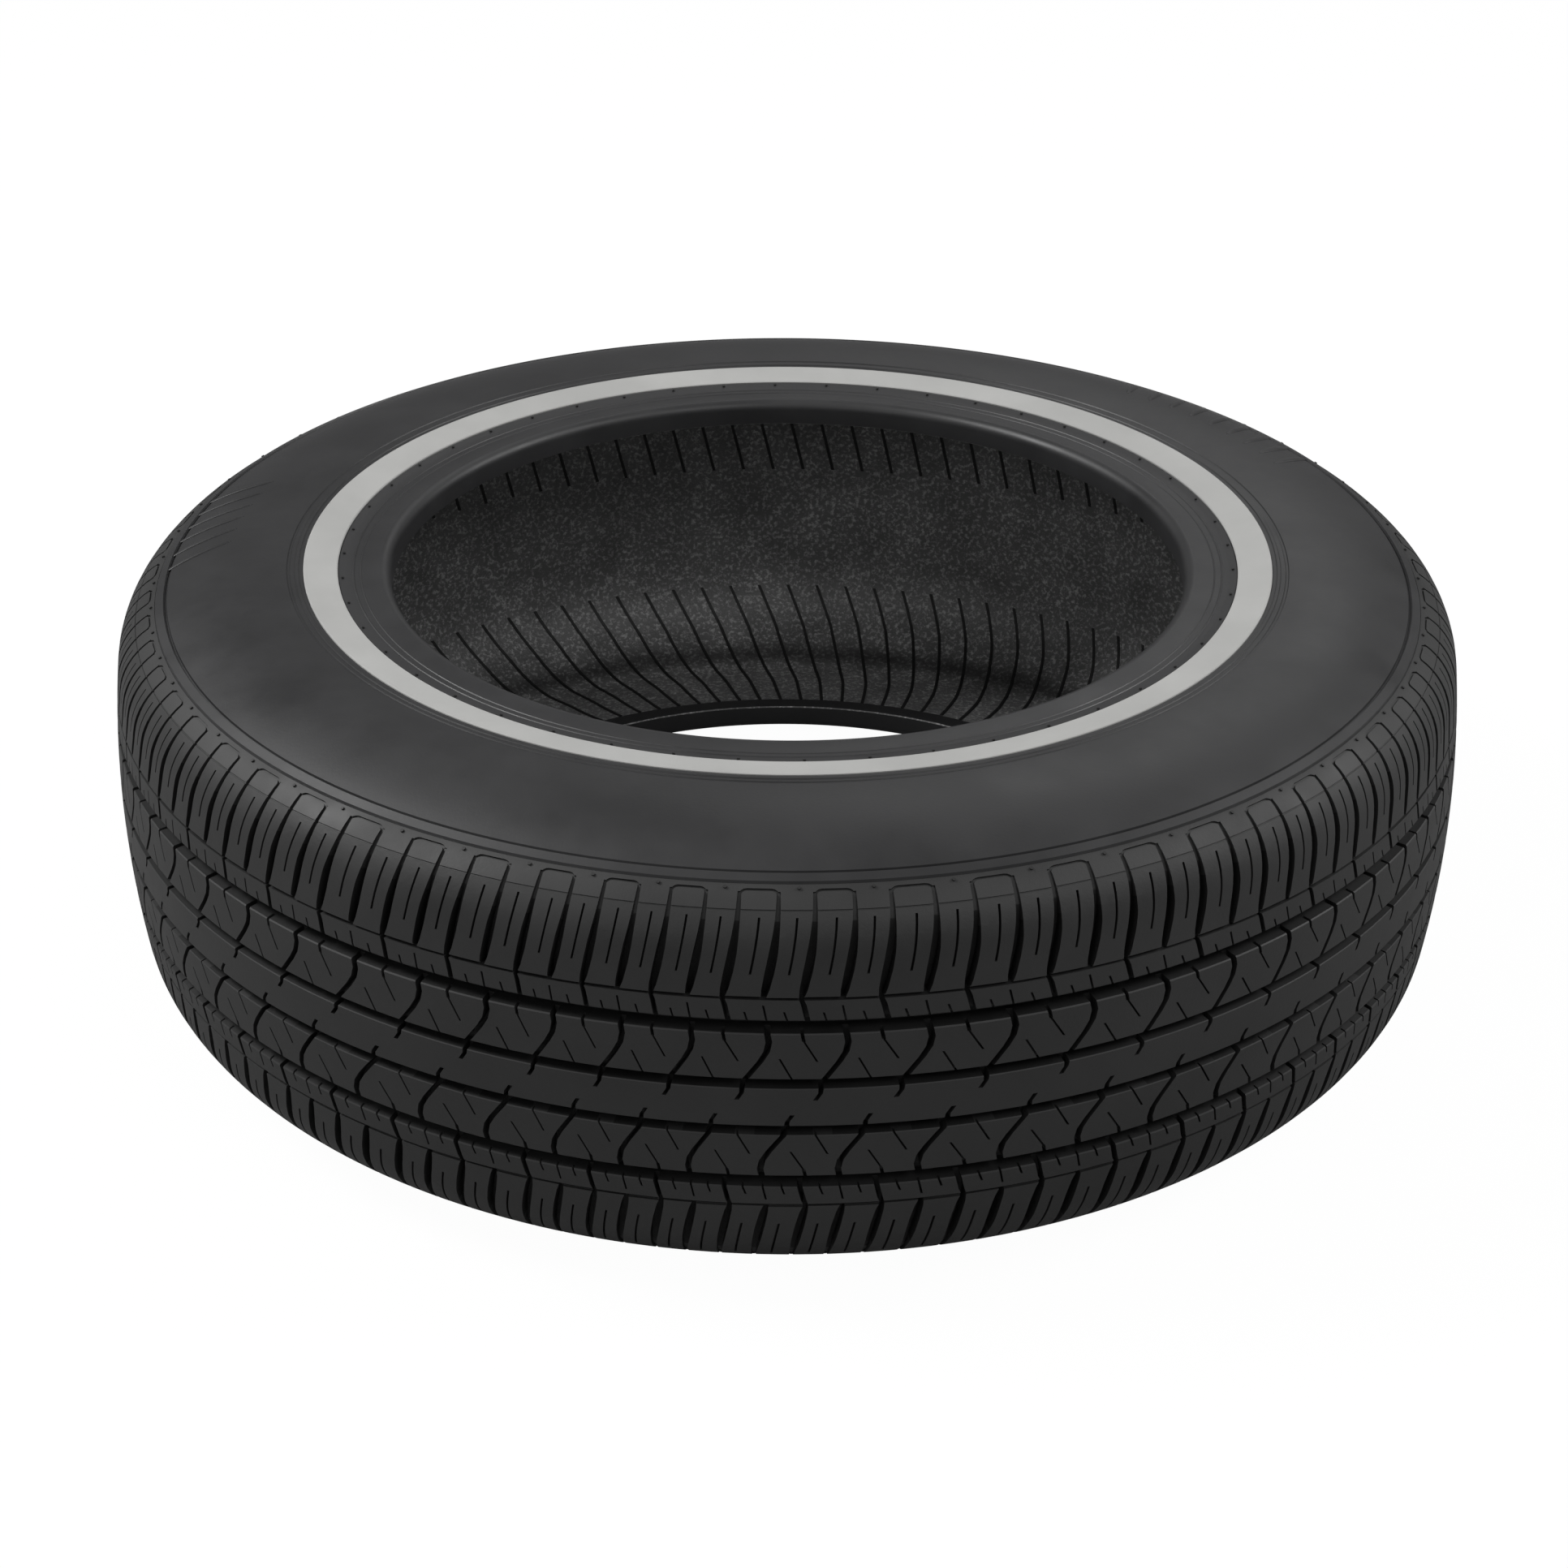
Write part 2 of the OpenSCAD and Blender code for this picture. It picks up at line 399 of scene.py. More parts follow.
def soft_box(name, place, size, watts):
    """A square area lamp that faces the origin."""
    data = bpy.data.lights.new(name, "AREA")
    data.shape, data.size, data.energy = "SQUARE", size, watts
    lamp = bpy.data.objects.new(name, data)
    bpy.context.scene.collection.objects.link(lamp)
    lamp.location = place
    lamp.rotation_euler = (-Vector(place)).to_track_quat("-Z", "Y").to_euler()


for name, place, size, watts in LAMPS:
    soft_box(name, place, size, watts)
print(len(LAMPS), "lamps,", sum(watts for *_, watts in LAMPS), "W in all")

# %% [markdown]
# ## Rubber
#
# Tread and sidewall are carbon-black vulcanised rubber, pressed against a machined mould: a satin skin with
# a very fine grain, its index of refraction about 1.52. The white band is rubber with titanium dioxide,
# buffed flat, so it is matt and even. The hollow is lined with butyl rubber, pressed by a bladder whose
# skin leaves a pebbled, slightly shiny surface. All of them are one recipe: noise drifts between two tones
# and shifts the roughness with them, and a finer noise is the grain, as bump. The mould's grain is about a
# tenth of a millimetre, too fine to show, so it is drawn coarser.

# %% The recipe for rubber
RUBBER_IOR = 1.52
CLOUD_MM = 45.0
GRAIN_MM = 1.5
ROUGHNESS_DRIFT = 0.08


def painted_fold_shade_and_glints(tree, place, tone, grain, middle_mm, reach_mm, dim):
    """Dims a tone in a soft ring about one distance from the axis, as painted shade at the liner's fold, and
    lifts it where the grain is high, as painted glints.
    """
    flat = node(tree, "ShaderNodeVectorMath", {"operation": "MULTIPLY", 1: (1, 1, 0)}, {0: place})
    away = node(tree, "ShaderNodeVectorMath", {"operation": "LENGTH"}, {0: flat.outputs[0]})
    feeds = {0: away.outputs["Value"]}
    off = node(tree, "ShaderNodeMath", {"operation": "SUBTRACT", 1: middle_mm * MM}, feeds)
    size = node(tree, "ShaderNodeMath", {"operation": "ABSOLUTE"}, {0: off.outputs[0]})
    # The ring is dimmed towards its middle: painted shade at the liner's fold.
    ramp = {"From Min": 0.0, "From Max": reach_mm * MM, "To Min": dim, "To Max": 1.0}
    ramp["interpolation_type"] = "SMOOTHSTEP"
    light = node(tree, "ShaderNodeMapRange", ramp, {"Value": size.outputs[0]})
    # Specks where the grain is high are lifted up to 2.6 times: painted glints.
    ramp = {"From Min": 0.5, "From Max": 0.66, "To Min": 0.85, "To Max": 2.6}
    painted_glints = node(tree, "ShaderNodeMapRange", ramp, {"Value": grain.outputs["Fac"]})
    feeds = {0: light.outputs["Result"], 1: painted_glints.outputs["Result"]}
    both = node(tree, "ShaderNodeMath", {"operation": "MULTIPLY"}, feeds)
    feeds = {"Vector": tone.outputs["Color"], "Scale": both.outputs[0]}
    return node(tree, "ShaderNodeVectorMath", {"operation": "SCALE"}, feeds)


def rubber(name, dark, light, roughness, grain_depth, cloud_mm=CLOUD_MM, grain_mm=GRAIN_MM, fold=None):
    """Clouds between two tones, grain as bump, and a roughness that drifts with the clouds."""
    material, tree = empty_material(name)
    place = node(tree, "ShaderNodeTexCoord").outputs["Object"]
    settings = {"Scale": 1 / (cloud_mm * MM), "Detail": 5.0, "Roughness": 0.6}
    clouds = node(tree, "ShaderNodeTexNoise", settings, {"Vector": place})
    settings = {"Scale": 1 / (grain_mm * MM), "Detail": 3.0, "Roughness": 0.7}
    grain = node(tree, "ShaderNodeTexNoise", settings, {"Vector": place})
    tone = node(tree, "ShaderNodeValToRGB", {}, {"Fac": clouds.outputs["Fac"]})
    for stop, position, colour in zip(tone.color_ramp.elements, (0.32, 0.68), (dark, light)):
        stop.position, stop.color = position, linear(colour)
    ramp = {"From Min": 0.3, "From Max": 0.7}
    ramp["To Min"], ramp["To Max"] = roughness - ROUGHNESS_DRIFT, roughness + ROUGHNESS_DRIFT
    dull = node(tree, "ShaderNodeMapRange", ramp, {"Value": clouds.outputs["Fac"]})
    settings = {"Strength": 0.6, "Distance": grain_depth * MM}
    bump = node(tree, "ShaderNodeBump", settings, {"Height": grain.outputs["Fac"]})
    # The liner takes painted shade at its fold and painted glints in specks.
    if fold:
        tone = painted_fold_shade_and_glints(tree, place, tone, grain, *fold)
    feeds = {"Base Color": tone.outputs[0], "Roughness": dull.outputs["Result"]}
    feeds["Normal"] = bump.outputs["Normal"]
    skin = node(tree, "ShaderNodeBsdfPrincipled", {"IOR": RUBBER_IOR, "Metallic": 0.0}, feeds)
    node(tree, "ShaderNodeOutputMaterial", {}, {"Surface": skin.outputs[0]})
    return material


# %% Rubber materials
# Painted shade at the liner's fold: distance from the axis at its middle, half its width, and the tone left
# there.
LINER_FOLD_SHADE = (272.0, 13.0, 0.35)

# The tread's mould is machined and vented, which leaves the lugs dull and even.
tread_rubber = rubber("moulded_tread_rubber", "#242424", "#2e2e2e", 0.58, 0.12)
# Rubber deep in a groove is painted near black: painted shade, for the little light that reaches it.
groove_painted_shade_rubber = rubber("tread_groove_rubber", "#0c0c0c", "#121212", 0.7, 0.12)
# The sidewall's mould is polished, so it has a soft sheen.
side_rubber = rubber("moulded_sidewall_rubber", "#262627", "#2b2b2c", 0.46, 0.08)
# The bladder's pebbled skin catches light in specks through its bump, and its tone is also lifted in specks
# as painted glints; a soft ring at the liner's fold is darkened as painted shade. The liner's light grey
# tones are partly the bladder's release agent and partly painted light.
liner_look = {"cloud_mm": 30.0, "grain_mm": 2.1, "fold": LINER_FOLD_SHADE}
liner_rubber_with_painted_light = rubber("butyl_liner_rubber", "#686868", "#828282", 0.4, 0.8, **liner_look)
# Ribs and nubs are painted near black, darker than what they stand on: painted shade.
rib_painted_shade_rubber = rubber("liner_vent_rib_rubber", "#101010", "#181818", 0.6, 0.1)
nub_painted_shade_rubber = rubber("clipped_nub_rubber", "#161616", "#1e1e1e", 0.6, 0.1)
# The band is ground after moulding, so it is matt, with hardly a cloud in its white.
white_rubber = rubber("buffed_white_rubber", "#a5a5a3", "#afafad", 0.7, 0.05, cloud_mm=60.0)
print("clouds every", CLOUD_MM, "mm and grain every", GRAIN_MM, "mm, where no other size is given")

# %% [markdown]
# ## The tread's pitches
#
# A tread repeats a block pattern round the tyre. A real one mixes short, middle and long pitches, so that it
# does not hum at one note. The runs below say which length comes how many times in a row; the middle pitch's
# own length follows from them, because all of them together close the circle.

# %% Pitches round the tyre
PITCH_SIZES = (0.9, 1.0, 1.1)
SHORT, MIDDLE, LONG = range(len(PITCH_SIZES))
PITCH_RUNS = [
    # length, and how many times in a row
    (MIDDLE, 2), (LONG, 1), (MIDDLE, 2), (SHORT, 3), (MIDDLE, 2), (LONG, 5), (MIDDLE, 4), (SHORT, 2),
    (MIDDLE, 2), (LONG, 2), (MIDDLE, 1), (SHORT, 3), (MIDDLE, 3), (LONG, 3), (MIDDLE, 2), (SHORT, 4),
    (MIDDLE, 2), (LONG, 1), (MIDDLE, 3), (SHORT, 2), (MIDDLE, 2), (LONG, 4), (MIDDLE, 2), (SHORT, 5),
    (MIDDLE, 2),
]

pitch_lengths = [PITCH_SIZES[size] for size, count in PITCH_RUNS for _ in range(count)]
PITCH = round(2 * math.pi * OUTER_R / sum(pitch_lengths), 3)
print(len(pitch_lengths), "pitches, a middle one is", PITCH, "mm long")

# %% [markdown]
# ## One pitch, drawn flat
#
# Half a pitch is a flat slab, at one unit to the millimetre: x runs round the tyre, y across it from the
# middle to the ring on the buttress, and z is depth. Grooves and sipes are swept cutters, taken away with
# Boolean modifiers. They could be cut from the round tyre, but drawn flat they are straight and easy to
# place, and the later wrap gives them the tyre's curves. Their places across the tread are still given as
# heights on the tyre, as they would be measured there.

# %% Sizes of the slab
SLAB = 9.5
START_X = 0.08 * PITCH
HALF_X = 0.52 * PITCH


def across(z):
    """Millimetres along the tread's surface from the middle to height z."""
    if z <= TREAD_HALF:
        return CROWN_R * math.asin(z / CROWN_R)
    return CROWN_T + SHOULDER_R * (math.asin(min(1, (z - SHOULDER_C[1]) / SHOULDER_R)) - SHOULDER_A)


half = begin("pitch", bpy.ops.mesh.primitive_cube_add, size=1, location=(PITCH / 2, EDGE_T / 2, -SLAB / 2))
half.scale = (PITCH, EDGE_T, SLAB)
fix_place(half)
print("half a pitch:", [round(v, 1) for v in half.dimensions], "mm")

# %% Cutters
GROOVE_ROUND = 0.8
CUTTER_END = 2.0
SIPE_DEEP = 2.5


def swept_cutter(stations):
    """A closed bar that follows stations of (x, height on the tyre, width, depth) across the slab."""
    stations = [(x + START_X, across(z), wide, deep) for x, z, wide, deep in stations]
    x, y, wide, deep = stations[0]
    upright = (math.pi / 2, 0, 0)
    bar = begin("cutter", bpy.ops.mesh.primitive_plane_add, size=1, location=(x, y, 0), rotation=upright)
    bar.scale = (wide, 2 * deep, 1)
    fix_place(bar)
    edit_all(bar)
    for (x0, y0, wide0, deep0), (x1, y1, wide1, deep1) in zip(stations, stations[1:]):
        bpy.ops.mesh.extrude_region_move(TRANSFORM_OT_translate={"value": (x1 - x0, y1 - y0, 0)})
        bpy.ops.transform.resize(value=(wide1 / wide0, 1, deep1 / deep0), center_override=(x1, y1, 0))
    turn_outwards()
    close_edit()
    return bar


def round_groove(z, mouth, floor_width, deep):
    """A groove that runs round the tyre, with sloping walls and rounded corners at its floor."""
    middle = (PITCH / 2, across(z), 0)
    sky_width = 2 * mouth - floor_width
    bar = begin("cutter", bpy.ops.mesh.primitive_cube_add, size=1, location=middle)
    bar.scale = (PITCH + 2 * CUTTER_END, sky_width, 2 * deep)
    fix_place(bar)
    select_points(bar, lambda corner: corner.z < 0)
    open_edit(bar)
    bpy.ops.transform.resize(value=(1, floor_width / sky_width, 1), center_override=middle)
    bpy.ops.mesh.bevel(offset=min(GROOVE_ROUND, floor_width / 3, deep / 3), segments=2, affect="EDGES")
    close_edit()
    return bar


def sipe(*points, wide, deep=SIPE_DEEP):
    """A fine cut of one width and depth through points of (x, height on the tyre)."""
    return swept_cutter([(x, z, wide, deep) for x, z in points])


def cut(piece, cutters):
    """Takes each cutter away from a piece, and deletes the cutter."""
    for cutter in cutters:
        tool = piece.modifiers.new("cut", "BOOLEAN")
        tool.operation, tool.solver, tool.object = "DIFFERENCE", "EXACT", cutter
        only(piece)
        bpy.ops.object.modifier_apply(modifier=tool.name)
        bpy.data.objects.remove(cutter)


# %% [markdown]
# Four main grooves run round the tyre, two to each half. They have sloping walls, and shallow wide cutters
# along their mouths give them chamfered lips. A thin groove parts the shoulder lugs from the rib beside them.

# %% Grooves that run round the tyre
OUTER_Z, INNER_Z, THIN_Z = 37.8, 11.4, 50.5
MAIN_DEEP = 8.0
ROUND_GROOVES = [
    # height on the tyre, width at the mouth, width at the floor, depth
    (OUTER_Z, 6.0, 3.4, MAIN_DEEP),
    (INNER_Z, 4.6, 2.4, MAIN_DEEP),
    (OUTER_Z, 7.0, 5.0, 0.8),
    (INNER_Z, 5.3, 4.4, 0.4),
    (THIN_Z, 1.1, 0.9, 2.4),
]

cut(half, [round_groove(*sizes) for sizes in ROUND_GROOVES])
report(half)

# %% [markdown]
# Two grooves to a pitch part the shoulder lugs. Each is pinched at the thin groove, widest midway and a fine
# line at its end, and one of them carries on inwards to the outer main groove. Sipes, the thin slits that
# let a lug flex, lie on lugs and ribs. A bent groove slants over the rib between the main grooves.

# %% Grooves and sipes across the tread
LUG_GROOVE = [
    # height on the tyre, width, depth
    (THIN_Z, 2.0, 6.5),
    (54.5, 3.4, 6.5),
    (62, 4.0, 6.5),
    (70, 3.8, 6.0),
    (76, 3.0, 4.4),
    (81.5, 2.3, 1.9),
    (89.5, 1.6, 0.9),
]
# The groove that carries on inwards, as x, height on the tyre, width and depth.
RIB_GROOVE = [(3.0, 39, 2.3, 5.0), (1.0, 47.8, 2.3, 5.0)]
LUG_SIPE_X = (0.28 * PITCH, 0.77 * PITCH)
LUG_SIPE_Z = (61, 70, 76, 82.5)
LUG_SIPE_W, RIB_SIPE_W = 1.0, 0.9
# Points of sipes and of the slanted groove are x and height on the tyre.
OUTER_RIB_SIPES = [((9.0, 44.6), (10.8, 39)), ((16.6, 47.6), (18.4, 39)), ((25.0, 44.8), (27.0, 39))]
SLANTED = [(18.1, 36), (19.0, 31), (18.1, 26.6), (15.5, 22), (11.7, 16.7), (8.5, 12.4), (8.0, 7), (5.9, 3.6)]
SLANTED_W, SLANTED_END_W, SLANTED_END_Z, SLANTED_DEEP = 2.7, 1.9, 12, 6.0
NOTCH = ((0.0, 37), (1.1, 31.4))
NOTCH_W, NOTCH_DEEP = 1.5, 4
INNER_RIB_SIPES = [((1.1, 31.5), (6.6, 22)), ((23.3, 23.4), (28.6, 13.2))]


def lug_groove(x, inner_stations):
    return swept_cutter(inner_stations + [(x, z, wide, deep) for z, wide, deep in LUG_GROOVE])


def slanted_groove():
    """The bent groove, which is narrower past the inner main groove."""
    widths = [SLANTED_W if z > SLANTED_END_Z else SLANTED_END_W for x, z in SLANTED]
    return swept_cutter([(x, z, wide, SLANTED_DEEP) for (x, z), wide in zip(SLANTED, widths)])


cut(half, [lug_groove(0, RIB_GROOVE), lug_groove(HALF_X, [])])
cut(half, [sipe(*[(x, z) for z in LUG_SIPE_Z], wide=LUG_SIPE_W) for x in LUG_SIPE_X])
cut(half, [sipe(*ends, wide=RIB_SIPE_W) for ends in OUTER_RIB_SIPES])
cut(half, [slanted_groove(), sipe(*NOTCH, wide=NOTCH_W, deep=NOTCH_DEEP)])
cut(half, [sipe(*ends, wide=RIB_SIPE_W) for ends in INNER_RIB_SIPES])
report(half)

# %% [markdown]
# Each pair of shoulder grooves is closed by a fine outline with rounded corners, which the mould engraves on
# the buttress. It is a rectangle with two bevelled corners, inset to a frame and pulled up. A thinner line
# runs round the tyre across the lugs.

# %% Engraved outline and line on the buttress
OUTLINE_END_Z = 90.2
OUTLINE_W = 1.1
OUTLINE_DEPTH = 0.8
OUTLINE_ROUND = 3.6
ROUND_STEPS = 4
CUTTER_TALL = 3.0
# The line: height on the tyre, width at the mouth, width at the floor, depth.
LUG_LINE = (84.6, 0.7, 0.5, 0.35)


def outline_cutter():
    """A frame with two rounded corners, which reaches from the depth of the outline up out of the slab."""
    low, high = across(THIN_Z), across(OUTLINE_END_Z)
    middle = (START_X + HALF_X / 2, (low + high) / 2, -OUTLINE_DEPTH)
    bar = begin("cutter", bpy.ops.mesh.primitive_plane_add, size=1, location=middle)
    bar.scale = (HALF_X + OUTLINE_W, high - low, 1)
    fix_place(bar)
    select_points(bar, lambda corner: corner.y > middle[1])
    open_edit(bar)
    bpy.ops.mesh.bevel(offset=OUTLINE_ROUND, segments=ROUND_STEPS, affect="VERTICES")
    bpy.ops.mesh.select_all(action="SELECT")
    bpy.ops.mesh.inset(thickness=OUTLINE_W)
    bpy.ops.mesh.delete(type="FACE")
    bpy.ops.mesh.select_all(action="SELECT")
    bpy.ops.mesh.extrude_region_move(TRANSFORM_OT_translate={"value": (0, 0, CUTTER_TALL)})
    turn_outwards()
    close_edit()
    return bar


cut(half, [outline_cutter(), round_groove(*LUG_LINE)])
report(half)

# %% [markdown]
# The wrap bends every face, so long faces are first cut into short ones: three lines across the pitch, and
# lines round the tyre that lie closer on the shoulder, where the section turns quickest. The two ends and the
# middle are opened, because neighbours will close them, and the other half is this one turned half round.

# %% Cut the faces short and open the ends
WELD = 0.001
CROWN_CUTS, SHOULDER_CUTS, CROSS_CUTS = 5, 9, 4


def slice_faces(piece, planes):
    """Cuts the faces along planes, each a point and a normal."""
    for place, normal in planes:
        edit_all(piece)
        bpy.ops.mesh.bisect(plane_co=place, plane_no=normal)
        close_edit()


def open_ends(piece, planes):
    """Deletes the faces whose corners all lie on one of the planes (axis, place)."""
    corners = points_of(piece)
    for face in piece.data.polygons:
        own = corners[list(face.vertices)]
        face.select = any(np.abs(own[:, axis] - at).max() < WELD for axis, at in planes)
    gone = sum(face.select for face in piece.data.polygons)
    bpy.context.tool_settings.mesh_select_mode = (False, False, True)
    open_edit(piece)
    bpy.ops.mesh.delete(type="FACE")
    bpy.context.tool_settings.mesh_select_mode = (True, False, False)
    close_edit()
    print("opened", gone, "end faces")


round_lines = [CROWN_T * k / CROWN_CUTS for k in range(1, CROWN_CUTS + 1)]
round_lines += [CROWN_T + SHOULDER_T * k / SHOULDER_CUTS for k in range(1, SHOULDER_CUTS)]
cross_lines = [PITCH * k / CROSS_CUTS for k in range(1, CROSS_CUTS)]
slice_faces(half, [((0, y, 0), (0, 1, 0)) for y in round_lines])
slice_faces(half, [((x, 0, 0), (1, 0, 0)) for x in cross_lines])
tidy_faces(half, WELD)
open_ends(half, [(0, 0), (0, PITCH), (1, 0)])

# %% Join two halves to a pitch
# Faces whose middle is deeper than this take the rubber of the grooves, painted near black as painted shade.
GROOVE_SHADE_DEPTH = 2.0

only(half)
bpy.ops.object.duplicate()
other_half = bpy.context.object
half_turn = Matrix.Rotation(math.pi, 4, "Z")
to_middle, from_middle = Matrix.Translation((-PITCH / 2, 0, 0)), Matrix.Translation((PITCH / 2, 0, 0))
other_half.matrix_world = from_middle @ half_turn @ to_middle
fix_place(other_half)
half.select_set(True)
bpy.context.view_layer.objects.active = half
bpy.ops.object.join()
pitch = bpy.context.object
edit_all(pitch)
bpy.ops.mesh.remove_doubles(threshold=WELD)
close_edit()
for finish in (tread_rubber, groove_painted_shade_rubber):
    pitch.data.materials.append(finish)
# Deep faces take the near black rubber: painted shade in the grooves.
for face in pitch.data.polygons:
    face.material_index = int(face.center.z < -GROOVE_SHADE_DEPTH)
report(pitch)

# %% [markdown]
# ## The tread, wrapped round
#
# Blender's own bend tools follow one radius, while a tyre has two, and each pitch here has its own length. So
# the wrap is a formula: it gives each flat point a turn about the axis, a place on the section, and a depth
# along the section's normal. The shoulder grooves lean as they leave the thin groove, and the lower half of
# the pattern is shifted against the upper one across the middle rib.

# %% Wrap the pitches round
FIRST_PITCH = -138.6
LUG_SWEEP = 5.8
LEAN_SHARE = 0.86
LOWER_SHIFT = 7.6
SHIFT_REACH = 3.0
LEAN_R = 320.0
TREAD_SHADE = 32


def lean(y):
    """Turn in radians that the pattern has gained at y millimetres from the middle."""
    out = np.clip((np.abs(y) - across(THIN_Z)) / (EDGE_T - across(THIN_Z)) / LEAN_SHARE, 0, 1)
    swept = np.sign(y) * LUG_SWEEP * np.sin(out * math.pi / 2)
    step = np.clip((SHIFT_REACH - y) / (2 * SHIFT_REACH), 0, 1)
    return (swept + LOWER_SHIFT * step * step * (3 - 2 * step)) / LEAN_R


def on_section(y):
    """Place on the tread's outline and outward normal, both as (distance, height), y millimetres across."""
    side, y = np.sign(y), np.abs(y)
    flat = y <= CROWN_T
    angle = np.where(flat, y / CROWN_R, SHOULDER_A + (y - CROWN_T) / SHOULDER_R)
    radius = np.where(flat, CROWN_R, SHOULDER_R)
    centre_r = np.where(flat, OUTER_R - CROWN_R, SHOULDER_C[0])
    centre_z = np.where(flat, 0, SHOULDER_C[1])
    near, high = np.cos(angle), np.sin(angle)
    return centre_r + radius * near, side * (centre_z + radius * high), near, side * high


def wrapped(flat, start, turn):
    """Flat points in millimetres as points of the tyre in metres."""
    x, y, h = flat.T
    r, z, near, high = on_section(y)
    angle = np.radians(start + x / PITCH * turn) + lean(y)
    r, z = r + h * near, z + h * high
    return np.column_stack((r * np.cos(angle), r * np.sin(angle), z)) * MM


unit_turn = 360 / sum(pitch_lengths)
turns = [size * unit_turn for size in pitch_lengths]
starts = [FIRST_PITCH - START_X / PITCH * unit_turn + sum(turns[:i]) for i in range(len(turns))]
flat_points = points_of(pitch)
tread = copied(pitch, "tread", [wrapped(flat_points, start, turn) for start, turn in zip(starts, turns)])
shade(tread, TREAD_SHADE)
report(tread)

# %% [markdown]
# ## Casing
#
# Under the tread the casing carries on as sidewalls, beads and liner. All of it is round, so its section is
# drawn as one closed line and spun about the axis. The line starts as a single point that is extruded from
# corner to corner. Raised rings, the seat of the white band and the dip that the rim flange bears on are all
# small steps of that line, which keeps them parts of one skin, as the mould makes them.

# %% Lines of the sidewall
# Rings are inner radius, outer radius and height; a ring of negative height is a groove.
RAISED_RINGS = [(295.6, 299.9, 0.8), (294.2, 295.4, -0.8), (236.4, 238.2, -0.5), (232.4, 234.4, 0.5)]
LOWER_RINGS = RAISED_RINGS + [(214.0, 216.0, 0.5)]
FLANGE_RINGS = [(206.6, 207.6, 0.35), (203.2, 204.0, 0.3)]
RING_EDGE = 0.35
SIDE_STEP = 3.0


def arc_height(r, foot):
    """Height of the arc that is level at the widest point and passes through foot, at distance r."""
    rise, run = WIDEST[1] - foot[1], foot[0] - WIDEST[0]
    radius = (rise * rise + run * run) / (2 * rise)
    return WIDEST[1] - radius + math.sqrt(radius * radius - (r - WIDEST[0]) ** 2)


def side_height(r):
    """Height of the plain sidewall at distance r from the axis."""
    return arc_height(r, RING if r > WIDEST[0] else (FLANGE_R, BEAD_FACE))


def flange_height(r):
    """Height of the face that the rim flange bears on, which dips between its edges."""
    middle, reach = (FLANGE_R + BEAD_R + HEEL_R) / 2, (FLANGE_R - BEAD_R - HEEL_R) / 2
    return BEAD_FACE - FLANGE_DIP * (1 - ((r - middle) / reach) ** 2)


def stepped(height, start, end, rings):
    """Points of a surface from radius start inwards to end, with raised rings of (inner, outer, height)."""
    marks = {r for a, b, _ in rings for r in (a, a + RING_EDGE, b - RING_EDGE, b)}
    evenly = np.arange(start, end, -SIDE_STEP)
    plain = {r for r in evenly if all(abs(r - m) > SIDE_STEP / 2 for m in marks)}
    line = []
    for r in sorted(marks | plain | {start, end}, reverse=True):
        high = sum(h for a, b, h in rings if a < r - RING_EDGE / 2 and r + RING_EDGE / 2 < b)
        line.append((r, height(r) + high))
    return line


print("the sidewall at the band is", [round(side_height(r), 1) for r in (BAND_IN, BAND_OUT)], "mm high")

# %% Lines under the tread and inside the tyre
UNDER_TREAD = 9.0
UNDER_STEPS, UNDER_POINTS = 12, 11
# Last points under the tread: distance in from the tread's edge, and depth.
TREAD_EDGE = [(2.5, 4.0), (0.7, 1.0)]
HEEL_STEPS = 8
# The thin lip that moulding squeezes out at the toe, as steps out from the bead seat and up.
TOE_FLASH = [(0.0, 1.0), (0.1, -0.5), (0.8, -1.0), (1.6, -0.5), (2.2, 0.2)]
LINER_BOW, BOW_STEPS = 1.6, 12
CORNER_STEPS, FLAT_STEPS = 24, 5


def arc(centre, radius, first, last, count):
    """Points of a round of the section, between two angles in degrees."""
    angles = [math.radians(first + (last - first) * k / count) for k in range(count + 1)]
    return [(centre[0] + radius * math.cos(a), centre[1] + radius * math.sin(a)) for a in angles]


def under_tread():
    """From the middle of the casing's crown to the raised ring, hidden below the tread."""
    places = [(EDGE_T * k / UNDER_STEPS, UNDER_TREAD) for k in range(UNDER_POINTS)]
    places += [(EDGE_T - inset, deep) for inset, deep in TREAD_EDGE]
    line = []
    for y, deep in places:
        r, z, near, high = on_section(np.array(y))
        line.append((float(r - deep * near), float(abs(z) - deep * abs(high))))
    line[0] = (line[0][0], 0.0)
    return line


def liner_bow(start, end):
    """The liner's wall between two points, bowed outwards."""
    line = []
    for k in range(1, BOW_STEPS):
        r = start[0] + (end[0] - start[0]) * k / BOW_STEPS
        z = start[1] + (end[1] - start[1]) * k / BOW_STEPS
        line.append((r, z + LINER_BOW * math.sin(math.pi * k / BOW_STEPS)))
    return line


def lip_to_middle():
    """From the flange face round the heel and the toe, and along the liner to the middle of the hollow."""
    heel = arc((BEAD_R + HEEL_R, BEAD_FACE - HEEL_R), HEEL_R, 90, 180, HEEL_STEPS)
    toe = [(BEAD_R + out, TOE_Z + up) for out, up in TOE_FLASH]
    bow = liner_bow(toe[-1], (HOLLOW_CROWN - HOLLOW_R, HOLLOW_SIDE))
    corner = arc((HOLLOW_CROWN - HOLLOW_R, HOLLOW_SIDE - HOLLOW_R), HOLLOW_R, 90, 0, CORNER_STEPS)
    flat = [(HOLLOW_CROWN, (HOLLOW_SIDE - HOLLOW_R) * (1 - k / FLAT_STEPS)) for k in range(1, FLAT_STEPS + 1)]
    return heel + toe + bow + corner + flat


print(len(under_tread()), "points under the tread,", len(lip_to_middle()), "from the flange to the middle")

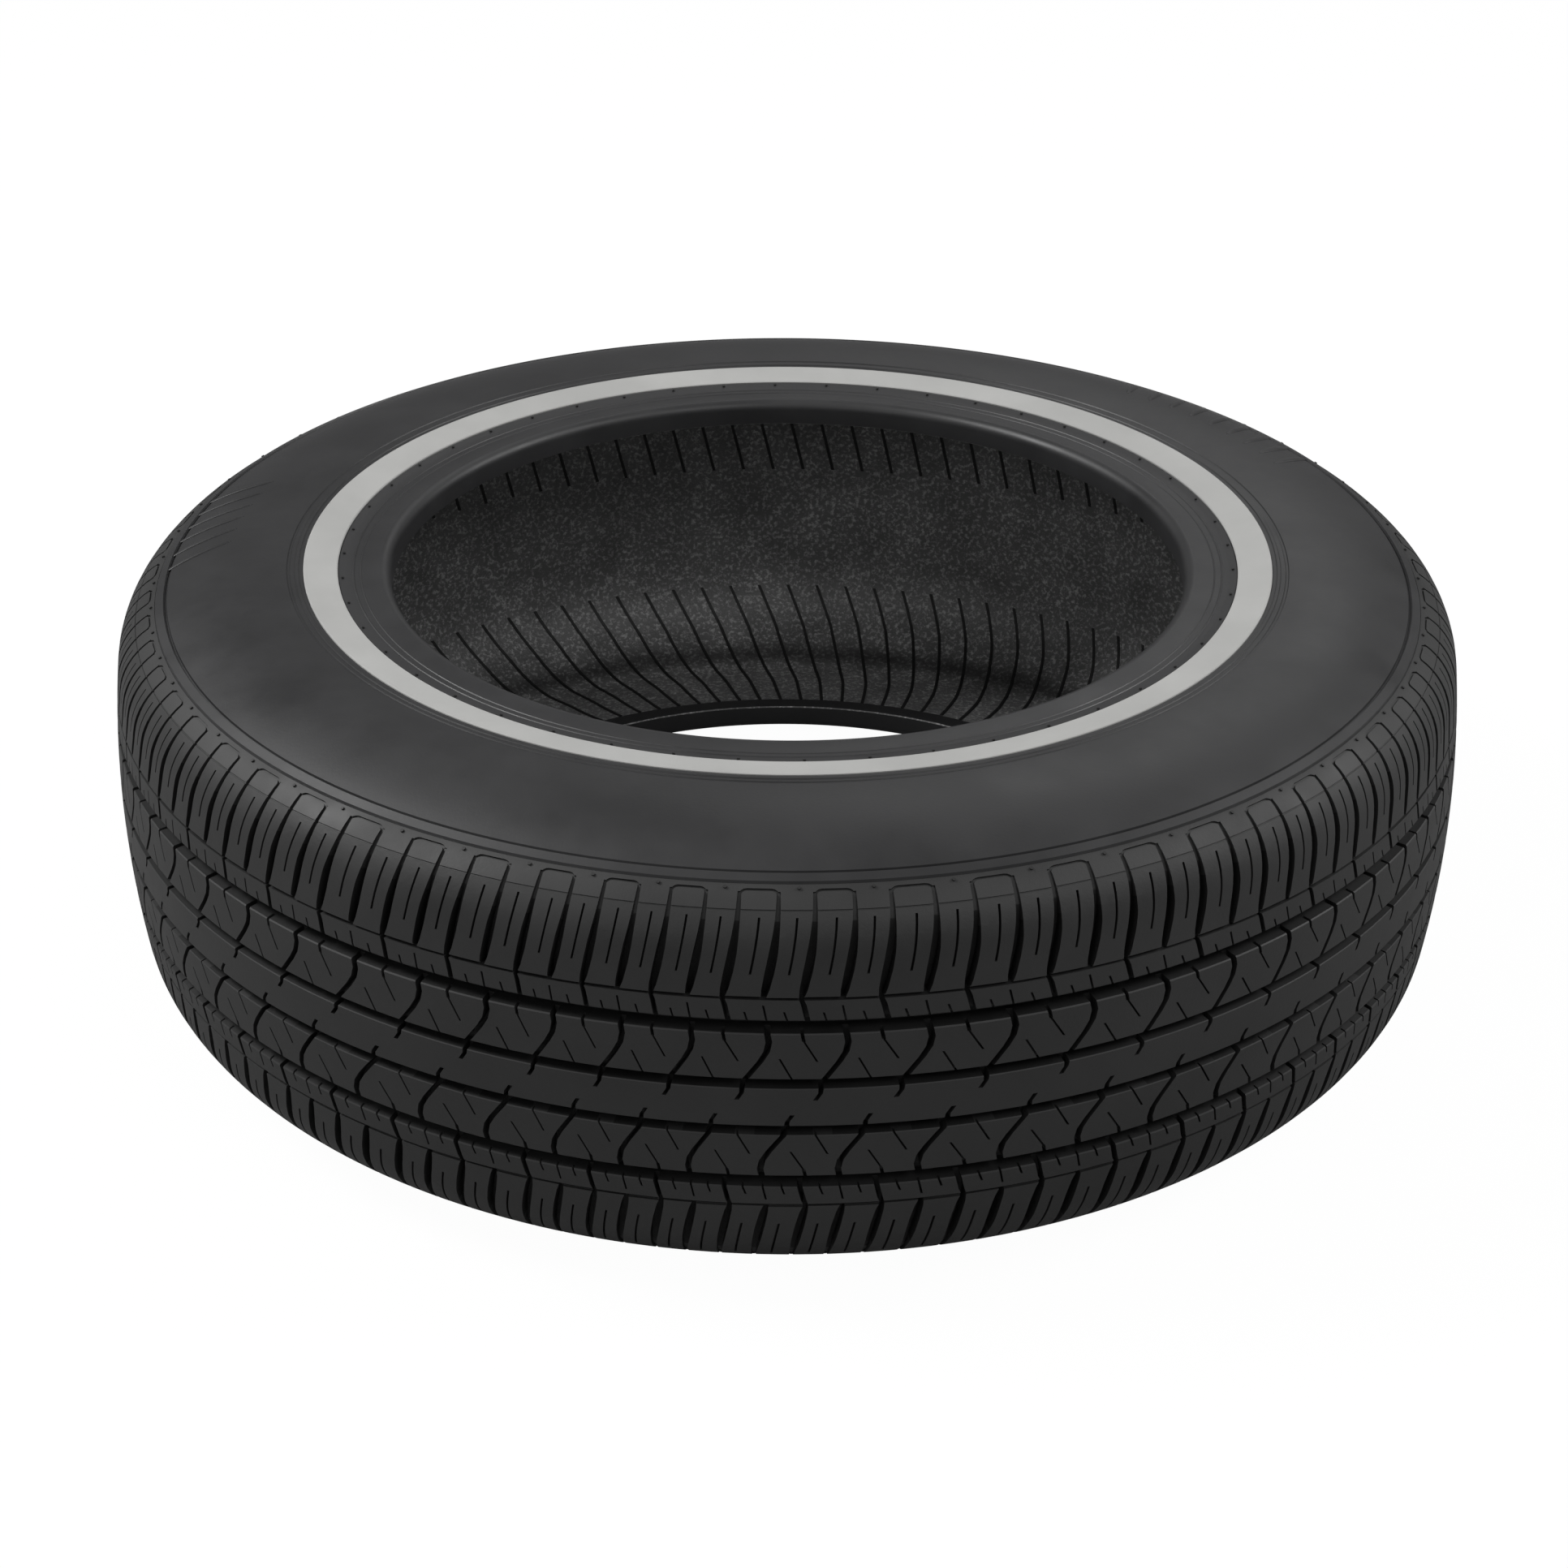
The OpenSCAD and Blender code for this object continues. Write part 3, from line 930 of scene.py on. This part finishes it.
# %% The whole section, spun
SEAT_GAP_IN, SEAT_GAP_OUT, SEAT_GAP_DOWN = 0.45, 0.3, 0.4
RING_GAP = 0.2
FACE_GAP_OUT, FACE_GAP_IN = 0.4, 0.3
SPIN_STEPS = 256
SPIN_WELD = 0.01 * MM


def white_side():
    """The sidewall with the seat that the white band lies in."""
    outer = stepped(side_height, RING[0] - RING_GAP, BAND_OUT + SEAT_GAP_OUT, RAISED_RINGS)
    inner = stepped(side_height, BAND_IN - SEAT_GAP_IN, FLANGE_R, [])
    seat = [(r, z - BAND_SEAT - SEAT_GAP_DOWN) for r, z in (outer[-1], inner[0])]
    return outer + seat + inner


def half_casing(side):
    """The casing's line from the crown over one sidewall to the middle of the hollow."""
    face = stepped(flange_height, FLANGE_R - FACE_GAP_OUT, BEAD_R + HEEL_R + FACE_GAP_IN, FLANGE_RINGS)
    return under_tread() + side + face + lip_to_middle()


def drawn_line(name, corners):
    """A single point, extruded from corner to corner in the plane of x and z, then closed."""
    line = begin(name, bpy.ops.mesh.primitive_plane_add, size=1)
    edit_all(line)
    bpy.ops.mesh.merge(type="CENTER")
    bpy.ops.transform.translate(value=(corners[0][0] * MM, 0, corners[0][1] * MM))
    for (r0, z0), (r1, z1) in zip(corners, corners[1:]):
        move = ((r1 - r0) * MM, 0, (z1 - z0) * MM)
        bpy.ops.mesh.extrude_region_move(TRANSFORM_OT_translate={"value": move})
    bpy.ops.mesh.select_all(action="SELECT")
    bpy.ops.mesh.edge_face_add()
    bpy.ops.mesh.delete(type="ONLY_FACE")
    close_edit()
    return line


def spun(line):
    """The line spun once about the axis, closed and turned outwards."""
    edit_all(line)
    bpy.ops.mesh.spin(steps=SPIN_STEPS, angle=2 * math.pi, center=(0, 0, 0), axis=(0, 0, 1))
    close_edit()
    tidy_faces(line, SPIN_WELD)
    return line


upper_half = half_casing(white_side())
lower_half = half_casing(stepped(side_height, RING[0] - RING_GAP, FLANGE_R, LOWER_RINGS))
casing = spun(drawn_line("casing", upper_half + [(r, -z) for r, z in reversed(lower_half[1:-1])]))
report(casing)

# %% [markdown]
# One mesh shows two rubbers: the moulded skin outside and the butyl liner in the hollow. Faces take the
# second material where they look into the hollow. The bead seat looks at the axis too, and is kept out by
# its radius, so the edge between the two runs along the bead's toe, where the liner ends on a real tyre.

# %% Materials on the casing
LINER_START_R = BEAD_R + 0.3
LINER_LOOK = 0.2
# A face looks to the middle of the hollow, or is upright, where its height times its normal is below this.
LEVEL = 1e-9
CASING_SHADE = 28

casing.data.materials.append(side_rubber)
casing.data.materials.append(liner_rubber_with_painted_light)
for face in casing.data.polygons:
    middle, normal = face.center, face.normal
    r = math.hypot(middle.x, middle.y) / MM
    outward = (middle.x * normal.x + middle.y * normal.y) / (r * MM)
    inside = outward < LINER_LOOK and r > LINER_START_R and normal.z * middle.z < LEVEL
    face.material_index = 1 if inside else 0
shade(casing, CASING_SHADE)
print(sum(face.material_index for face in casing.data.polygons), "faces of liner")

# %% [markdown]
# ## White band
#
# The band is a flat ring of white rubber, buffed level and a little proud of the wall, with eased edges. A
# stripe of white on the casing's own skin would be simpler, but the real band is a strip of its own: spun as
# one, it gets its raised edges, and a hair of a groove on either side keeps black and white apart.

# %% White band
BAND_EASE, BAND_EASE_DOWN, BAND_CROWN = 0.5, 0.3, 0.1
BAND_SHADE = 30


def band_section():
    """The ring's closed section, from its base up over its slightly crowned face."""
    inner, outer = Vector((BAND_IN, side_height(BAND_IN))), Vector((BAND_OUT, side_height(BAND_OUT)))
    along = (outer - inner).normalized()
    up = Vector((-along.y, along.x))
    top_inner, top_outer = inner + up * BAND_PROUD, outer + up * BAND_PROUD
    middle = (top_inner + top_outer) / 2 + up * BAND_CROWN
    edge = up * (BAND_PROUD - BAND_EASE_DOWN)
    base = [outer - up * BAND_SEAT, inner - up * BAND_SEAT]
    inner_edge = [inner, inner + edge, top_inner + along * BAND_EASE]
    outer_edge = [top_outer - along * BAND_EASE, outer + edge, outer]
    return [tuple(p) for p in base + inner_edge + [middle] + outer_edge]


band = spun(drawn_line("white_band", band_section()))
band.data.materials.append(white_rubber)
shade(band, BAND_SHADE)
report(band)

# %% [markdown]
# ## Marks of the mould
#
# Small marks are modelled once, lying flat at one unit to the millimetre, and copies are laid on a line of
# the section: x runs along the line, y round the tyre, and z stands off the surface. An array on a curve
# would need a curve for each mark, while this formula takes any line of the section, on either side of it.


# %% Laying flat marks on a line of the section
def running_length(line):
    """Length along a line up to each of its points."""
    return np.concatenate(([0], np.cumsum(np.hypot(*np.diff(line, axis=0).T))))


def laid(flat, line, side, turn, slant=None):
    """Flat points in millimetres, laid along a line of (distance, height), as points of the tyre in metres.
    The slant is a pair: lengths along the line, and the turn in degrees that a mark has gained there."""
    line = np.array(line, float)
    run = running_length(line)
    x, y, h = flat.T
    r, z = np.interp(x, run, line[:, 0]), np.interp(x, run, line[:, 1])
    ahead_r = np.interp(x + 1, run, line[:, 0]) - np.interp(x - 1, run, line[:, 0])
    ahead_z = np.interp(x + 1, run, line[:, 1]) - np.interp(x - 1, run, line[:, 1])
    long = np.hypot(ahead_r, ahead_z)
    slant_turn = np.radians(np.interp(x, *slant)) if slant else 0
    angle = math.radians(turn) + y / r + slant_turn
    r, z = r + side * h * ahead_z / long, z - side * h * ahead_r / long
    return np.column_stack((r * np.cos(angle), r * np.sin(angle), z)) * MM


def run_to(line, r_end, z_end):
    """Length of a line of the section up to its point nearest to a place."""
    line = np.array(line, float)
    return float(running_length(line)[np.hypot(line[:, 0] - r_end, line[:, 1] - z_end).argmin()])


liner_line = lip_to_middle()[HEEL_STEPS + 1 :]
lower_liner_line = [(r, -z) for r, z in liner_line]
print("the liner runs", round(running_length(np.array(liner_line))[-1], 1), "mm from toe to middle")

# %% [markdown]
# The bladder that presses the liner has fine slanting vents, through which the last air leaves, and each
# leaves a low rib on the liner. A rib is a flat bar, cut into short lengths so that it can bend, and sunk a
# little so that it stays closed with the liner. The lower ones bend as they climb out of the lower sidewall.

# %% Vent ribs on the liner
LINER_RIBS = 112
RIB_W, RIB_H, RIB_SUNK = 1.7, 0.45, 0.4
RIB_STEP = 5
LOWER_BENDS = [
    # distance from the axis, height above the middle, turn gained in degrees
    (208.0, 90.5, -2.2),
    (240.0, 94.5, -1.3),
    (268.0, 94.5, 0.0),
    (290.0, 83.5, 1.4),
    (305.0, 63.0, 3.2),
]
UPPER_START = (300.0, 72.0)
UPPER_BENDS = [(282.0, 90.0, 2.4), (HOLLOW_CROWN, 8.8, -1.6)]


def rib(start, end):
    """A flat bar from start to end along x, in short lengths so that it can bend."""
    bar = begin("rib", bpy.ops.mesh.primitive_cube_add, size=1)
    bar.location = ((start + end) / 2, 0, (RIB_H - RIB_SUNK) / 2)
    bar.scale = (end - start, RIB_W, RIB_H + RIB_SUNK)
    fix_place(bar)
    count = round((end - start) / RIB_STEP)
    slice_faces(bar, [((start + (end - start) * k / count, 0, 0), (1, 0, 0)) for k in range(1, count)])
    return bar


def liner_ribs(name, line, side, start, bends):
    """Ribs all round the liner, from a place to the last of the bends."""
    bar = rib(run_to(liner_line, *start), run_to(liner_line, *bends[-1][:2]))
    flat = points_of(bar)
    slant = ([run_to(liner_line, r, z) for r, z, _ in bends], [turn for *_, turn in bends])
    places = [laid(flat, line, side, 360 * k / LINER_RIBS, slant) for k in range(LINER_RIBS)]
    ribs = copied(bar, name, places)
    # The ribs are painted near black, as painted shade of the vent lines.
    ribs.data.materials.append(rib_painted_shade_rubber)
    report(ribs)
    return ribs


low_ribs = liner_ribs("lower_liner_ribs", lower_liner_line, -1, LOWER_BENDS[0][:2], LOWER_BENDS)
high_ribs = liner_ribs("upper_liner_ribs", liner_line, 1, UPPER_START, UPPER_BENDS)

# %% [markdown]
# Air leaves the mould through pin holes, each of which fills with rubber and leaves a thin whisker. On this
# tyre they are clipped to nubs: one beside each pair of shoulder lugs, and a ring of them inside the band.

# %% Nubs
NUB_R, NUB_H, NUB_SUNK, NUB_SIDES = 0.75, 0.7, 0.5, 8
SHOULDER_NUB_Y = EDGE_T - 1.9
SHOULDER_NUB_X = START_X + 0.79 * PITCH
SHOULDER_LINE_Y = EDGE_T - 6
SHOULDER_LINE_POINTS = 7
BAND_NUB_R = 212.2
BAND_NUBS, BAND_NUB_START, BAND_NUB_SIZE = 48, 2, 0.9
BAND_LINE_REACH = 2.0

pin = {"vertices": NUB_SIDES, "radius": NUB_R, "depth": NUB_H + NUB_SUNK}
nub = begin("nub", bpy.ops.mesh.primitive_cylinder_add, **pin)
nub.location = (0, 0, (NUB_H - NUB_SUNK) / 2)
fix_place(nub)
nub_flat = points_of(nub)

shoulder_points = [on_section(np.array(SHOULDER_LINE_Y + k))[:2] for k in range(SHOULDER_LINE_POINTS)]
shoulder_line = [(float(r), float(z)) for r, z in shoulder_points]
shoulder_flat = nub_flat + np.array((SHOULDER_NUB_Y - SHOULDER_LINE_Y, 0, 0))
nub_lean = math.degrees(lean(np.array(SHOULDER_NUB_Y)))
places = []
for start, turn in zip(starts, turns):
    places.append(laid(shoulder_flat, shoulder_line, 1, start + SHOULDER_NUB_X / PITCH * turn + nub_lean))

wall_r = np.arange(BAND_NUB_R + BAND_LINE_REACH, BAND_NUB_R - BAND_LINE_REACH - 0.1, -1.0)
wall_line = [(r, side_height(r)) for r in wall_r]
wall_flat = nub_flat * np.array((BAND_NUB_SIZE, BAND_NUB_SIZE, 1)) + np.array((BAND_LINE_REACH, 0, 0))
for k in range(BAND_NUBS):
    places.append(laid(wall_flat, wall_line, 1, 360 / BAND_NUBS * k + BAND_NUB_START))
nubs = copied(nub, "vent_nubs", places)
# The nubs are painted near black: painted shade.
nubs.data.materials.append(nub_painted_shade_rubber)
report(nubs)

# %% [markdown]
# Two fans of soft ribs decorate the upper sidewall. A fin is a sphere, flattened and drawn out until only a
# low smooth crest stands out of the wall, and the fan is the same fin laid at even turns.

# %% Fans of soft ribs on the upper sidewall
FAN_R = (266.0, 298.0)
FAN_LONG = FAN_R[1] - FAN_R[0]
FIN_HALF_W, FIN_H = 2.4, 0.8
FIN_SLANT = 1.6
# Each fan: turn of its first rib in degrees, and how many ribs.
FANS = [(166.0, 6), (24.0, 9)]
FAN_STEP = 3.1
FAN_SHADE = 60

along_x = (0, math.pi / 2, 0)
fin = begin("fin", bpy.ops.mesh.primitive_uv_sphere_add, segments=16, ring_count=8, rotation=along_x)
fin.scale = (FIN_H, FIN_HALF_W, FAN_LONG / 2)
fix_place(fin)
fin_flat = points_of(fin) + np.array((FAN_LONG / 2, 0, 0))
fan_line = [(r, side_height(r)) for r in np.arange(FAN_R[1] - 0.5, FAN_R[0] - 0.1, -1.0)]
slant = ([0, FAN_LONG], [FIN_SLANT, -FIN_SLANT])
fan_turns = [first + FAN_STEP * k for first, count in FANS for k in range(count)]
fans = copied(fin, "sidewall_fans", [laid(fin_flat, fan_line, 1, turn, slant) for turn in fan_turns])
fans.data.materials.append(side_rubber)
shade(fans, FAN_SHADE)
report(fans)

# %% [markdown]
# ## The pieces on the tyre's body
#
# Each piece rides on the tyre's one body. Tread and casing stand for the one solid of the tyre, with the
# marks that lie on them, and the white band for its own.

# %% Ride on the body
for piece in (tread, casing, low_ribs, high_ribs, nubs, fans):
    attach(piece, BODY)
    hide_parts("tyre")
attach(band, BODY)
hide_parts("whitewall")
